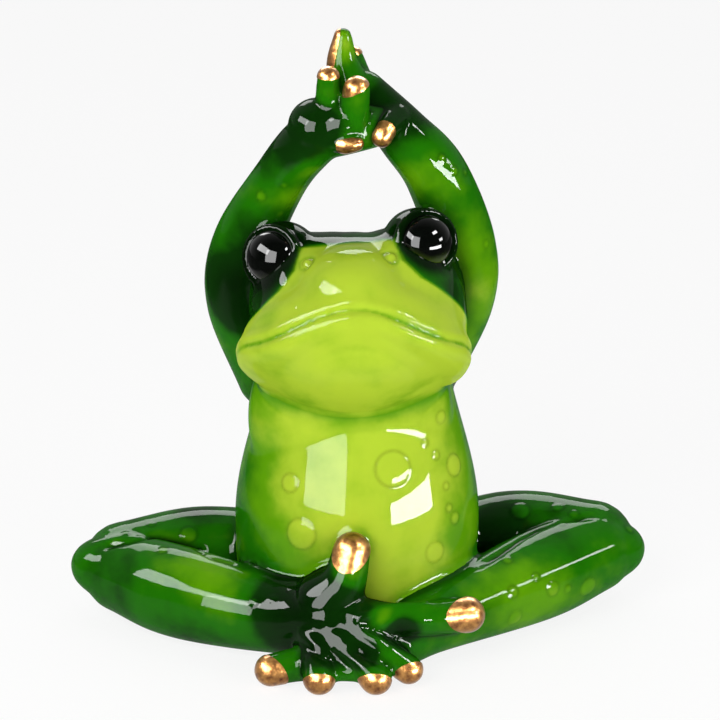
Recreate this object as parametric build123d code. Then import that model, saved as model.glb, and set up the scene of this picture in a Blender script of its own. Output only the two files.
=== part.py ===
"""Cast resin frog ornament, seated cross-legged with its hands joined above its head.

Millimetres, +Z up, the frog faces -Y. The origin is on the flat base, under the middle of the torso.
Left and right are the frog's own, so its left side is +X. The castings are glued at fitted seats and
pinned with steel dowels, and each later casting is cut to sit on the earlier ones that it meets.
"""

import os
from math import cos, pi, radians, sin, sqrt

from build123d import *

# Torso: a pear standing on its flat base
BASE_WIDTH = 42.0
BASE_DEPTH = 36.0
SEAT_HEIGHT = 9.6
SEAT_WIDTH = 47.6
SEAT_DEPTH = 42.0
BELLY_HEIGHT = 24.0
BELLY_WIDTH = 50.6
BELLY_DEPTH = 45.0
NECK_HEIGHT = 48.0
NECK_WIDTH = 41.2
NECK_DEPTH = 35.0
NECK_BACK = 2.0
TORSO_HEIGHT = 60.0
COLLAR_WIDTH = 36.4
COLLAR_DEPTH = 31.0
NAPE_RISE = 10.0

# Head: a skull and a narrow snout over wide lips and a chin, tipped up, turned and tilted
SKULL_WIDTH = 42.0
SKULL_HEIGHT = 30.0
SKULL_LENGTH = 37.0
SKULL_BACK = 3.0
SKULL_RISE = 1.0
SNOUT_WIDTH = 30.0
SNOUT_HEIGHT = 24.4
SNOUT_LENGTH = 42.4
SNOUT_DROP = 1.6
LIP_WIDTH = 49.2
LIP_HEIGHT = 14.4
LIP_LENGTH = 42.4
LIP_DROP = 6.6
CHIN_WIDTH = 46.0
CHIN_HEIGHT = 21.0
CHIN_LENGTH = 39.0
CHIN_DROP = 10.4
MOUTH_BEND = 3.2
MOUTH_REACH = 18.0
HEAD_LIFT = 13.0
HEAD_FORWARD = 8.0
HEAD_PITCH = 38.0
HEAD_YAW = 6.0
HEAD_ROLL = 4.0
HEAD_OUTLINE = [(-0.36, 0.66), (-0.2, 0.92), (0.0, 1.0), (0.22, 0.87), (0.36, 0.68), (0.46, 0.45), (0.5, 0.24)]
HEAD_REAR = -0.45
HEAD_FRONT = 0.515

# Eyes: glossy domes set in pockets, each in a mound with a raised lid rim
EYE_SPREAD = 14.2
EYE_FORWARD = 5.5
EYE_RISE = 9.6
EYE_OUTWARD = 25.0
EYE_UPWARD = -14.0
MOUND_RADIUS = 7.6
EYE_RADIUS = 5.3
EYE_DOME = 3.6
EYE_SEAT_DEPTH = 2.4
EYE_CLEARANCE = 0.1
LID_RADIUS = 1.0

# Arms: raised beside the head, bowed at the elbows, leaning a little and closing above it
SHOULDER_INSET = 4.9
SHOULDER_BACK = 8.0
SHOULDER_DROP = 9.0
SHOULDER_RADIUS = 7.0
ELBOW_SPREAD = 22.3
ELBOW_BACK = 9.0
ELBOW_RISE = 17.0
ELBOW_RADIUS = 7.1
FOREARM_SPREAD = 21.9
FOREARM_BACK = 6.5
FOREARM_RISE = 30.0
FOREARM_RADIUS = 7.0
REACH_SPREAD = 16.2
REACH_BACK = 3.0
REACH_RISE = 46.0
REACH_RADIUS = 6.4
WRIST_SPREAD = 9.5
WRIST_RISE = 55.0
WRIST_RADIUS = 6.2
ARM_LEAN = 0.045
LEAN_RISE = 48.0
HAND_STAGGER = 2.0
HAND_STEP = 0.5

# Hands: a palm and digits, placed from the wrist as (root, tip) along X, Y and Z
KNUCKLE_RADIUS = 4.2
FINGER_RADIUS = 2.6
FINGER_TIP_LENGTH = 4.0
LEFT_PALM = (-9.2, 1.5, 11.0)
LEFT_DIGITS = {
    "long_finger": ((-9.8, 1.5, 10.8), (-13.0, 1.0, 20.7)),
    "short_finger": ((-8.5, 4.0, 9.3), (-10.8, 4.6, 14.9)),
    "thumb": ((-2.3, -2.5, 2.9), (-5.0, -9.0, 2.6)),
}
RIGHT_PALM = (8.2, -2.5, 7.2)
RIGHT_DIGITS = {
    "long_finger": ((3.3, -1.5, 5.3), (3.1, -2.4, 13.9)),
    "short_finger": ((8.7, -3.6, 5.7), (9.1, -4.4, 12.6)),
    "thumb": ((4.1, -3.0, 2.1), (7.7, -6.4, 2.7)),
}

# Legs: thighs out to the knees, shins folded in front of them, the left leg further back
HIP_SPREAD = 14.0
HIP_BACK = 12.0
HIP_RADIUS = 9.4
THIGH_SPREAD = 32.5
THIGH_BACK = 13.0
THIGH_HEIGHT = 11.2
THIGH_RADIUS = 10.3
KNEE_SPREAD = 49.0
KNEE_BACK = 8.0
KNEE_HEIGHT = 10.0
KNEE_RADIUS = 9.2
KNEE_FOLD = 4.0
SHIN_TOP_RADIUS = 8.6
SHIN_SPREAD = 36.0
SHIN_FRONT = 6.0
SHIN_HEIGHT = 9.0
SHIN_RADIUS = 9.1
ANKLE_SPREAD = 15.0
RIGHT_ANKLE_FRONT = 18.0
LEFT_ANKLE_FRONT = 20.0
ANKLE_HEIGHT = 8.4
ANKLE_RADIUS = 6.4
LEFT_LEG_BACK = 8.0
LEFT_THIGH_BACK = 6.4
LEFT_KNEE_LIFT = 2.5

# Feet: the right one crosses over the left, with soles and toes placed from the ankle in X and Y
# and from the base in Z, and each toe as (root, bend, tip)
TOE_RADIUS = 2.6
TOE_END_RADIUS = 3.2
TOE_TIP_LENGTH = 5.4
RIGHT_SOLE = [((10.0, -7.5, 10.5), 5.8)]
RIGHT_TOES = {
    "first": ((10.0, -8.5, 13.0), (12.4, -8.6, 19.5), (13.6, -7.8, 24.3)),
    "second": ((12.0, -9.5, 12.5), (25.0, -11.0, 13.0), (37.5, -6.5, 12.0)),
    "third": ((13.0, -10.5, 10.0), (20.0, -14.0, 7.5), (25.4, -15.5, 3.9)),
    "fourth": ((11.0, -11.0, 8.0), (15.8, -16.5, 6.0), (18.7, -19.4, 3.1)),
    "fifth": ((8.0, -10.0, 7.5), (7.4, -16.0, 5.5), (7.4, -19.4, 3.1)),
}
LEFT_SOLE = [((-9.0, -6.5, 5.4), 5.2), ((-19.0, -9.5, 4.2), 4.2)]
LEFT_TOES = {"outer": ((-19.0, -9.5, 4.0), (-26.5, -11.5, 3.8), (-32.6, -12.8, 3.1))}

# Dowels that pin the castings together
DOWEL_RADIUS = 2.0
DOWEL_LENGTH = 16.0
PIN_RADIUS = 1.2
PIN_LENGTH = 8.0
DOWEL_CLEARANCE = 0.1
GLUE_GAP = 0.5
SHOULDER_PIN_RISE = 4.0
SHOULDER_PIN_BACK = 6.0
SHOULDER_PIN_INSET = 2.45
HIP_PIN_INSET = 2.4
HIP_PIN_BACK = 10.8

DOME_ANGLES = (35, 65, 82)
SPAN_RINGS = 4
TORSO_RINGS = 12
OVAL_POINTS = 16
ON_BASE = (Align.CENTER, Align.CENTER, Align.MIN)
ACROSS = (0, 1, 0)
UPRIGHT = (0, 0, 1)
LEFT, RIGHT = 1, -1
SIDES = {"left": LEFT, "right": RIGHT}


def dome(point, direction, radius):
    """Rings of (centre, direction, radius) that close a limb with a round end, and the end's pole."""
    rings = []
    for angle in DOME_ANGLES:
        centre = point + direction * (radius * sin(radians(angle)))
        rings.append((centre, direction, radius * cos(radians(angle))))
    return rings, Vertex(*(point + direction * radius))


def limb(stations, steady):
    """A smooth round limb with domed ends, through stations of (point, radius)."""
    points = [Vector(*point) for point, _ in stations]
    line = Line(*points) if len(points) == 2 else Spline(*points)
    spans = [(b - a).length for a, b in zip(points, points[1:])]
    rings = []
    run = 0
    for (_, here), (_, there), span in zip(stations, stations[1:], spans):
        for step in range(SPAN_RINGS):
            share = step / SPAN_RINGS
            along = (run + share * span) / sum(spans)
            rings.append((line @ along, line % along, here + (there - here) * share))
        run += span
    rings.append((line @ 1, line % 1, stations[-1][1]))
    first, first_pole = dome(line @ 0, (line % 0) * -1, stations[0][1])
    last, last_pole = dome(line @ 1, line % 1, stations[-1][1])
    first = [(centre, direction * -1, radius) for centre, direction, radius in reversed(first)]
    sections = [
        Plane(origin=centre, x_dir=steady, z_dir=direction) * Circle(radius)
        for centre, direction, radius in first + rings + last
    ]
    return loft([first_pole, *sections, last_pole])


def parted(form, point, direction):
    """A form parted by a plane square to the direction, as the piece before it and the piece after it."""
    plane = Plane(origin=point, z_dir=direction)
    before = split(form, bisect_by=plane, keep=Keep.BOTTOM)
    after = split(form, bisect_by=plane, keep=Keep.TOP)
    return before, after


def chord(stations, index):
    """The way a limb points at one of its inner stations."""
    return (Vector(*stations[index + 1][0]) - Vector(*stations[index - 1][0])).normalized()


def digit(stations, steady, tip_length):
    """A finger or toe, parted near its end into its body and its gilded tip."""
    end, radius = Vector(*stations[-1][0]), stations[-1][1]
    direction = (end - Vector(*stations[-2][0])).normalized()
    return parted(limb(stations, steady), end + direction * (radius - tip_length), direction)


def fitted(form, *seats):
    """The casting that is left of a form once it is cut to sit on the castings and holes it meets."""
    for seat in seats:
        form = form - seat
    return form.solids().sort_by(SortBy.VOLUME)[-1]


def above_base(form):
    """The part of a form that stands above the flat base."""
    room = 4 * KNEE_SPREAD
    return form & Box(room, room, room, align=ON_BASE)


def dowel(middle, direction, radius, length):
    """A pin centred on a joint, and its drilled hole with a glue gap at either end."""
    plane = Plane(origin=middle, z_dir=direction)
    pin = plane * Cylinder(radius, length)
    hole = plane * Cylinder(radius + DOWEL_CLEARANCE, length + 2 * GLUE_GAP)
    return pin, hole


def torso_form():
    """Pear-shaped body, flat underneath, narrowing to the neck and rounded over at the nape."""
    levels = [
        (BASE_WIDTH, BASE_DEPTH, 0),
        (SEAT_WIDTH, SEAT_DEPTH, SEAT_HEIGHT),
        (BELLY_WIDTH, BELLY_DEPTH, BELLY_HEIGHT),
        (NECK_WIDTH, NECK_DEPTH, NECK_HEIGHT),
        (COLLAR_WIDTH, COLLAR_DEPTH, TORSO_HEIGHT),
    ]
    profile = Spline(*levels)
    sizes = [profile @ (step / TORSO_RINGS) for step in range(TORSO_RINGS + 1)]
    for angle in DOME_ANGLES:
        rise, share = sin(radians(angle)), cos(radians(angle))
        sizes.append(Vector(COLLAR_WIDTH * share, COLLAR_DEPTH * share, TORSO_HEIGHT + NAPE_RISE * rise))
    rings = [oval(size.X, size.Y, NECK_BACK * min(size.Z / NECK_HEIGHT, 1), size.Z) for size in sizes]
    return loft([*rings, Vertex(0, NECK_BACK, TORSO_HEIGHT + NAPE_RISE)])


def oval(width, depth, back, height):
    """Level oval section of the torso, drawn from the back so that no limb crosses its seam."""
    turns = [radians(90 + 360 * step / OVAL_POINTS) for step in range(OVAL_POINTS)]
    outline = Spline(*[(width / 2 * cos(turn), depth / 2 * sin(turn)) for turn in turns], periodic=True)
    return Pos(0, back, height) * make_face(outline)


def head_frame():
    """Where the head sits: its own -Y is the snout and its own +Z the crown."""
    return Pos(0, -HEAD_FORWARD, TORSO_HEIGHT + HEAD_LIFT) * Rot(-HEAD_PITCH, -HEAD_ROLL, -HEAD_YAW)


def bent_oval(half_width, half_height, bend):
    """Upright oval section of the head, whose sides are bent down towards the corners of the mouth."""
    points = []
    for step in range(OVAL_POINTS):
        turn = radians(270 + 360 * step / OVAL_POINTS)
        across = half_width * cos(turn)
        fall = (1 - cos(pi * min(abs(across) / MOUTH_REACH, 1))) / 2
        points.append((across, half_height * sin(turn) - bend * fall))
    return make_face(Spline(*points, periodic=True))


def head_mass(width, height, length, drop, back=0, bend=0):
    """One mass of the head in the head's own frame: broad at the cheeks, narrowing to a blunt front."""
    sections = []
    for along, share in HEAD_OUTLINE:
        plane = Plane(origin=(0, back - along * length, -drop), x_dir=(1, 0, 0), z_dir=(0, -1, 0))
        sections.append(plane * bent_oval(width / 2 * share, height / 2 * share, bend))
    rear = Vertex(0, back - HEAD_REAR * length, -drop)
    front = Vertex(0, back - HEAD_FRONT * length, -drop)
    return loft([rear, *sections, front])


def eye_plane(side):
    """Plane at the middle of an eye mound, facing the way the eye looks."""
    outward, upward = radians(EYE_OUTWARD), radians(EYE_UPWARD)
    look = (side * sin(outward) * cos(upward), -cos(outward) * cos(upward), sin(upward))
    local = Plane(origin=(side * EYE_SPREAD, -EYE_FORWARD, EYE_RISE), z_dir=look)
    return Plane(head_frame() * local.location)


def eye_rim_height():
    """How far the lid rim stands from the middle of the mound."""
    return sqrt(MOUND_RADIUS**2 - EYE_RADIUS**2)


def eye(side):
    """A domed eye with a flat back: a short rod topped by part of a sphere."""
    back = eye_rim_height() - EYE_SEAT_DEPTH
    crown = eye_rim_height() + EYE_DOME
    dome_radius = (EYE_RADIUS**2 + EYE_DOME**2) / (2 * EYE_DOME)
    rod = Pos(0, 0, back) * Cylinder(EYE_RADIUS, crown - back, align=ON_BASE)
    return eye_plane(side) * (rod & Pos(0, 0, crown - dome_radius) * Sphere(dome_radius))


def eye_mound(side):
    """Round mound with a lid rim about the eye."""
    rim = Pos(0, 0, eye_rim_height()) * Torus(EYE_RADIUS + LID_RADIUS, LID_RADIUS)
    return eye_plane(side) * (Sphere(MOUND_RADIUS) + rim)


def eye_pocket(side):
    """Flat-bottomed pocket that the eye sits in."""
    bottom = eye_rim_height() - EYE_SEAT_DEPTH
    pocket = Cylinder(EYE_RADIUS + EYE_CLEARANCE, MOUND_RADIUS, align=ON_BASE)
    return eye_plane(side) * (Pos(0, 0, bottom) * pocket)


def head_form():
    """Skull, snout, lips and chin with the two eye mounds. The lips meet the chin along the mouth."""
    skull = head_mass(SKULL_WIDTH, SKULL_HEIGHT, SKULL_LENGTH, -SKULL_RISE, SKULL_BACK)
    snout = head_mass(SNOUT_WIDTH, SNOUT_HEIGHT, SNOUT_LENGTH, SNOUT_DROP)
    lips = head_mass(LIP_WIDTH, LIP_HEIGHT, LIP_LENGTH, LIP_DROP, bend=MOUTH_BEND)
    chin = head_mass(CHIN_WIDTH, CHIN_HEIGHT, CHIN_LENGTH, CHIN_DROP, bend=MOUTH_BEND)
    form = head_frame() * (chin + skull + snout + lips)
    for side in SIDES.values():
        form = form + eye_mound(side)
    for side in SIDES.values():
        form = form - eye_pocket(side)
    return form


def arm_point(side, spread, back, rise):
    """A point of a raised arm, above the shoulder by the rise."""
    lean = ARM_LEAN * (rise - LEAN_RISE)
    return (side * spread + lean, back, TORSO_HEIGHT - SHOULDER_DROP + rise)


def arm_stations(side):
    """Points and radii of an arm from the shoulder to the wrist."""
    shoulder_spread = NECK_WIDTH / 2 - SHOULDER_INSET
    wrist_rise = WRIST_RISE + side * HAND_STEP
    return [
        (arm_point(side, shoulder_spread, NECK_BACK + SHOULDER_BACK, 0), SHOULDER_RADIUS),
        (arm_point(side, ELBOW_SPREAD, ELBOW_BACK, ELBOW_RISE), ELBOW_RADIUS),
        (arm_point(side, FOREARM_SPREAD, FOREARM_BACK, FOREARM_RISE), FOREARM_RADIUS),
        (arm_point(side, REACH_SPREAD, REACH_BACK, REACH_RISE), REACH_RADIUS),
        (arm_point(side, WRIST_SPREAD, side * HAND_STAGGER, wrist_rise), WRIST_RADIUS),
    ]


def arm_and_hand(side, palm, digits):
    """An arm, the hand parted from it at the wrist, the hand's gilded tips, and the wrist's dowel."""
    stations = arm_stations(side)
    wrist = Vector(*stations[-1][0])
    stations.append((wrist + Vector(*palm), KNUCKLE_RADIUS))
    direction = chord(stations, -2)
    arm, hand = parted(limb(stations, ACROSS), wrist, direction)
    tips = []
    for root, end in digits.values():
        finger = [(wrist + Vector(*root), FINGER_RADIUS), (wrist + Vector(*end), FINGER_RADIUS)]
        body, tip = digit(finger, ACROSS, FINGER_TIP_LENGTH)
        hand = hand + body
        tips.append(tip)
    return arm, hand, tips, dowel(wrist, direction, PIN_RADIUS, PIN_LENGTH)


def shoulder_dowel(side):
    """Pin across the seat of an arm on the torso."""
    spread = NECK_WIDTH / 2 - SHOULDER_PIN_INSET
    middle = arm_point(side, spread, NECK_BACK + SHOULDER_PIN_BACK, SHOULDER_PIN_RISE)
    return dowel(middle, (side, 0, 0), PIN_RADIUS, PIN_LENGTH)


def leg_back(side):
    """How much further back a leg lies than the right one."""
    return LEFT_LEG_BACK if side == LEFT else 0


def knee(side):
    """Point inside a bent knee."""
    lift = LEFT_KNEE_LIFT if side == LEFT else 0
    return (side * KNEE_SPREAD, KNEE_BACK + leg_back(side), KNEE_HEIGHT + lift)


def leg_and_foot(side, sole, toes):
    """A leg, the foot parted from it at the ankle, the foot's gilded tips, and the ankle's dowel."""
    thigh_back = THIGH_BACK + (LEFT_THIGH_BACK if side == LEFT else 0)
    knee_x, knee_y, knee_z = knee(side)
    ankle_front = LEFT_ANKLE_FRONT if side == LEFT else RIGHT_ANKLE_FRONT
    ankle = Vector(side * ANKLE_SPREAD, -ankle_front, ANKLE_HEIGHT)
    on_ankle = Vector(ankle.X, ankle.Y, 0)
    thigh = [
        ((side * HIP_SPREAD, HIP_BACK, HIP_RADIUS), HIP_RADIUS),
        ((side * THIGH_SPREAD, thigh_back, THIGH_HEIGHT), THIGH_RADIUS),
        (knee(side), KNEE_RADIUS),
    ]
    shin = [
        ((knee_x, knee_y - KNEE_FOLD, knee_z), SHIN_TOP_RADIUS),
        ((side * SHIN_SPREAD, leg_back(side) - SHIN_FRONT, SHIN_HEIGHT), SHIN_RADIUS),
        (ankle, ANKLE_RADIUS),
        *[(on_ankle + Vector(*point), radius) for point, radius in sole],
    ]
    direction = chord(shin, 2)
    lower_leg, foot = parted(limb(shin, UPRIGHT), ankle, direction)
    tips = []
    for points in toes.values():
        root, bend, end = (on_ankle + Vector(*point) for point in points)
        toe = [(root, TOE_RADIUS), (bend, TOE_RADIUS), (end, TOE_END_RADIUS)]
        body, tip = digit(toe, ACROSS, TOE_TIP_LENGTH)
        foot = foot + body
        tips.append(above_base(tip))
    leg = above_base(limb(thigh, UPRIGHT) + lower_leg)
    return leg, above_base(foot), tips, dowel(ankle, direction, PIN_RADIUS, PIN_LENGTH)


def hip_dowel(side):
    """Pin across the seat of a thigh on the torso."""
    middle = (side * (SEAT_WIDTH / 2 - HIP_PIN_INSET), HIP_PIN_BACK, SEAT_HEIGHT)
    return dowel(middle, (side, 0, 0), DOWEL_RADIUS, DOWEL_LENGTH)


def main():
    os.makedirs("parts", exist_ok=True)
    parts = {}
    neck_pin, neck_hole = dowel((0, 0, TORSO_HEIGHT + NAPE_RISE), UPRIGHT, DOWEL_RADIUS, DOWEL_LENGTH)
    shoulders = {name: shoulder_dowel(side) for name, side in SIDES.items()}
    hips = {name: hip_dowel(side) for name, side in SIDES.items()}
    torso = torso_form()
    head = fitted(head_form(), torso)

    arms, hands, tips, wrists = {}, {}, {}, {}
    for name, palm, digits in (("left", LEFT_PALM, LEFT_DIGITS), ("right", RIGHT_PALM, RIGHT_DIGITS)):
        arm, hands[name], tips[name], wrists[name] = arm_and_hand(SIDES[name], palm, digits)
        arms[name] = fitted(arm, torso, head)
    for name in SIDES:
        wrist_hole = wrists[name][1]
        parts[f"eye_{name}"] = eye(SIDES[name])
        parts[f"arm_{name}"] = fitted(arms[name], shoulders[name][1], wrist_hole)
        parts[f"hand_{name}_tips"] = Compound(tips[name])
    met = [*arms.values(), *tips["right"], *tips["left"]]
    parts["hand_right"] = fitted(hands["right"], *met, wrists["right"][1])
    parts["hand_left"] = fitted(hands["left"], *met, wrists["left"][1], parts["hand_right"])

    legs, feet, toe_tips, ankles = {}, {}, {}, {}
    for name, sole, toes in (("left", LEFT_SOLE, LEFT_TOES), ("right", RIGHT_SOLE, RIGHT_TOES)):
        leg, feet[name], toe_tips[name], ankles[name] = leg_and_foot(SIDES[name], sole, toes)
        legs[name] = fitted(leg, torso)
        toe_tips[name] = [fitted(tip, torso) for tip in toe_tips[name]]
    for name in SIDES:
        parts[f"leg_{name}"] = fitted(legs[name], hips[name][1], ankles[name][1], *toe_tips["right"])
        parts[f"foot_{name}_tips"] = Compound(toe_tips[name])
    seats = [torso, parts["leg_left"], parts["leg_right"]]
    foot_left = fitted(feet["left"], *seats, *toe_tips["left"], *toe_tips["right"], ankles["left"][1])
    parts["foot_left"] = foot_left
    parts["foot_right"] = fitted(feet["right"], *seats, *toe_tips["right"], ankles["right"][1], foot_left)

    holes = [neck_hole] + [pair[1] for pair in [*shoulders.values(), *hips.values()]]
    parts["torso"] = fitted(torso, *holes)
    parts["head"] = fitted(head, neck_hole)
    parts["neck_dowel"] = neck_pin
    for joint, pairs in (("shoulder", shoulders), ("hip", hips), ("wrist", wrists), ("ankle", ankles)):
        parts[f"{joint}_dowels"] = Compound([pin for pin, _ in pairs.values()])
    for name, part in parts.items():
        export_step(part, f"parts/{name}.step")


main()
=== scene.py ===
"""Looks of a glossy cast resin frog ornament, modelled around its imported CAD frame.

Shapes are worked in millimetres in the model's own frame and scaled to metres as each piece is finished.
+Z is up and the frog faces -Y. Left and right are the frog's own, so its left side is +X.
"""

from functools import cache
from math import cos, radians, sin

import bmesh
import bpy
import numpy as np
from mathutils import Matrix, Vector
from mathutils.bvhtree import BVHTree
from mathutils.kdtree import KDTree


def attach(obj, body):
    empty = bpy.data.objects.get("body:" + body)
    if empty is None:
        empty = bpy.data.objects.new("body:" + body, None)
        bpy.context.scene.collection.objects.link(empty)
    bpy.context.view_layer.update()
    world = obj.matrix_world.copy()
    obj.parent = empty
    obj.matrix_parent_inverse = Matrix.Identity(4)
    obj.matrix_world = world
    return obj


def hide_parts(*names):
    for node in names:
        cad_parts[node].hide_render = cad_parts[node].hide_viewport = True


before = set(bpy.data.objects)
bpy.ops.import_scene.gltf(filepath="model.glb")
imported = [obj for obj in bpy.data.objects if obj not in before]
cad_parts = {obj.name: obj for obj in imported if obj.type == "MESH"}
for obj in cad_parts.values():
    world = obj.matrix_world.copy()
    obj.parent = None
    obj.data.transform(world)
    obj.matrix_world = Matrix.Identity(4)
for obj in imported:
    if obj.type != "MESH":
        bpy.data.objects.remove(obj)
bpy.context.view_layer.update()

bl_info = {
    "name": "Resin Frog Ornament",
    "version": (1, 0, 0),
    "blender": (4, 5, 0),
    "location": "3D View > Sidebar > Frog",
    "description": "Builds the lacquered, gilded castings of a seated frog ornament around its CAD frame",
    "category": "Add Mesh",
}

MM = 0.001
LEFT, RIGHT = 1, -1
SIDES = {"left": LEFT, "right": RIGHT}

# Limbs as runs of stations, each (x, y, z, radius) in millimetres, from the body outwards
ARM_RUNS = {
    "left": [(13.5, 10, 51, 7), (21, 9, 68, 7.2), (21.3, 6.5, 81, 7.1), (16, 3, 97, 6.5), (9.5, 2, 105.6, 5.6),
             (1.6, 3.2, 114.6, 4.1)],
    "right": [(-17.9, 10, 51, 7), (-23.9, 9, 68, 7.2), (-22.7, 6.5, 81, 7), (-15.7, 3, 95.7, 5.7),
              (-9.6, -2, 105.2, 5.7), (-3.2, -4.2, 109.8, 5)],
}
FINGER_RUNS = {
    "left": [
        [(-1, 2.6, 114.4, 4.5), (-2.8, 3, 120.1, 3.3), (-2.8, 3, 125.9, 1.8)],
        [(1.2, 6, 113.5, 3), (-0.9, 6.8, 120.6, 2.2)],
        [(7.6, -0.5, 109.8, 3.2), (5.9, -5.8, 109.3, 2.2), (5, -6.9, 107.9, 2.1)],
        [(1.6, 3.2, 114.6, 4.1), (-3.2, 0.6, 112.2, 4.2)],
    ],
    "right": [
        [(-5.2, -3.5, 109.5, 3.2), (-5.8, -4.2, 114.6, 2.6), (-5.7, -4.4, 119.5, 2.3)],
        [(-0.9, -5, 109.5, 3.4), (-0.4, -6, 114, 3), (0, -6.6, 117.7, 2.7)],
        [(-6.5, -4.4, 106.8, 2.8), (-4.8, -7.2, 106.6, 1.5), (-2.2, -8, 106.7, 1.95), (0, -8.3, 106.9, 1.4)],
        [(-8, -3, 108.8, 6), (-5, -3.2, 107.6, 5), (0.5, -3.6, 108.2, 4.2), (4.6, -1, 108.4, 4)],
    ],
}
# Cut of each gilded end: the way that the leaf faces and how far the cut lies from the end of the run
FINGER_LEAF = {
    "left": [((-0.95, -0.1, 0.2), 0.9), ((-0.3, 0.1, 0.9), 0.2), ((-0.3, -0.9, -0.2), -1.0)],
    "right": [((0, 0, 1), 0.1), ((-0.42, -0.1, 0.9), 0), ((0.6, -0.8, 0), -1.7)],
}
TOE_LEAF = {
    "left": [((-0.7, -0.66, -0.3), -0.6)],
    "right": [((0, -0.6, 0.8), 0.5), ((0.75, -0.6, 0.25), 0.2), ((0.4, -0.7, -0.55), 0.3),
              ((0, -0.75, -0.66), 0.5), ((0, -0.75, -0.66), 0.5)],
}
THIGH_RUNS = {
    "left": [(14, 12, 9.4, 9.4), (33, 18, 11.4, 10.1), (49.5, 13, 12.4, 9)],
    "right": [(-14, 12, 9.4, 9.4), (-32.5, 11.4, 10.7, 9.9), (-48.5, 6, 10.4, 9)],
}
SHIN_RUNS = {
    "left": [(49.5, 9.6, 11.6, 8.6), (37, 0.8, 9.7, 9.5), (15, -20, 8.4, 6.6), (6, -26.5, 5.4, 5.2),
             (-4, -29.5, 4.2, 4.2)],
    "right": [(-48.5, 2.4, 10, 8.6), (-36, -7.6, 9.6, 9.6), (-15, -18.8, 9.4, 8), (-6, -25, 12, 7.2)],
}
# Points of the knees, from inside them
KNEE_RUNS = {
    "left": [(49, 10.5, 11.6, 8.6), (55, 10.7, 11.9, 5.6), (57.9, 11, 12.2, 2.2)],
    "right": [(-48, 3, 10.4, 8.6), (-54.2, 3, 11.3, 5.6), (-57, 3, 11.8, 2.2)],
}
TOE_RUNS = {
    "left": [[(-4, -29.5, 4, 4.2), (-11.5, -31.2, 4, 3.6), (-17.4, -32.6, 3.3, 3.3)]],
    "right": [
        [(-6.3, -24.6, 14.4, 6.8), (-2.8, -25.8, 19.6, 4.8), (-1, -25, 26.2, 3.8)],
        [(-3, -27, 12.5, 5), (9, -29, 12.8, 3.4), (22.3, -25, 12.2, 3.7)],
        [(-3, -28, 10.5, 4.8), (4.6, -32, 7.8, 3.2), (10.4, -33.6, 3.9, 3)],
        [(-5, -28.5, 9.4, 4.8), (0.2, -33.6, 6.6, 3.3), (3.8, -36.8, 3.3, 3.3)],
        [(-8, -27.5, 9, 4.8), (-8, -33.2, 6.2, 3.3), (-7.6, -36.8, 3.3, 3.3)],
    ],
}
# Folds seen in the photograph, each a line of pixels with its depth and width in millimetres
FOLDS = {
    "leg_right": [
        ([(100, 547), (128, 541), (155, 537), (185, 543), (215, 557), (245, 566)], 1.1, 1.0),
        ([(439, 605), (400, 606), (372, 612), (359, 620), (363, 631), (376, 639), (391, 646)], -0.7, 1.1),
        ([(378, 623), (402, 627), (426, 623)], 1.5, 2.6),
        ([(294, 645), (316, 653), (336, 664)], 0.9, 1.3), ([(343, 643), (365, 655), (386, 667)], 0.9, 1.3),
    ],
    "leg_left": [([(478, 566), (500, 552), (525, 535), (555, 522), (590, 517)], 1.1, 1.0)],
}
# Webs of the right foot, as pairs of its toes and how far out along them the web reaches
WEBS = [(1, 2, 0.3), (2, 3, 0.97), (3, 4, 0.97)]
WRISTS = {"left": ((9.5, 2, 105.6), (-0.6, 0.02, 0.8)), "right": ((-9.6, -2, 105.2), (0.66, -0.32, 0.68))}
ANKLES = {"left": ((15, -20, 8.4), (-0.72, -0.68, -0.08)), "right": ((-15, -18, 8.4), (0.84, -0.53, 0.04))}
# How far from a wrist or an ankle the parting cut reaches
WRIST_REACH, ANKLE_REACH = 9.5, 11.0

# Head in its own frame: -Y is the snout and +Z the crown
HEAD_PLACE = (0, -8, 73)
HEAD_TURN = (-38, -4, -6)
HEAD_OVALS = [
    ((-9, 3, 1.5), (13.2, 18, 14.8)), ((-4.5, 3, 1.1), (12, 18, 14.8)),
    ((0, 3, 0.4), (12, 18, 15)), ((8.4, 3, 0.7), (13.6, 18, 14.8)),
    ((0, -0.8, -2.8), (14.4, 21.6, 13.6)), ((-0.8, -0.9, -4.6), (22.6, 20.7, 8.8)),
    ((-1.3, -0.6, -8), (24, 21.2, 8.3)), ((-1, 0.4, -10.2), (18, 19.2, 11.4)),
]
# Throat that carries the chin, in the model's frame
THROAT = ((-1.4, -3.5, 47), (21, 11.4, 24))
# Rounds of smoothing on the head, on the body with its throat, on the eye mounds and on the gilded ends
HEAD_EASE, THROAT_EASE, MOUND_EASE, LEAF_EASE = 60, 40, 6, 4
FILL_ROUNDS = 110
# The chin runs into the throat in a wider sweep
CHIN_ROUNDS, CHIN_REACH = 500, 10.0
MOUTH_HEIGHT = -8.4
# Half width of the lime face at heights from the mouth up, in the head's own frame
FACE_HEIGHTS, FACE_WIDTHS = (-9, -6, -3.5, -0.3, 3.4, 8.4), (28, 24.5, 20.6, 14.6, 11.2, 9.8)
NOSTRILS = [(307, 263), (391, 257)]
EYE_PLACE = (13.6, -5.5, 9.6)
EYE_OUTWARD, EYE_UPWARD = 25, -14
MOUND_RADIUS = 7.3
EYE_RADIUS, EYE_DOME = 5.3, 3.9
LID_RADIUS = 0.8
EYE_RIM = (MOUND_RADIUS**2 - EYE_RADIUS**2) ** 0.5

# Camera of the photograph: level in X, looking down at the middle of the frog
VIEW_TARGET = (0.61, 0, 58.07)
VIEW_RISE = 20.0
VIEW_DISTANCE = 900.0
VIEW_WIDTH = 147.4
FRAME_PIXELS = 720
LAMP_DISTANCE = 650
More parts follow.
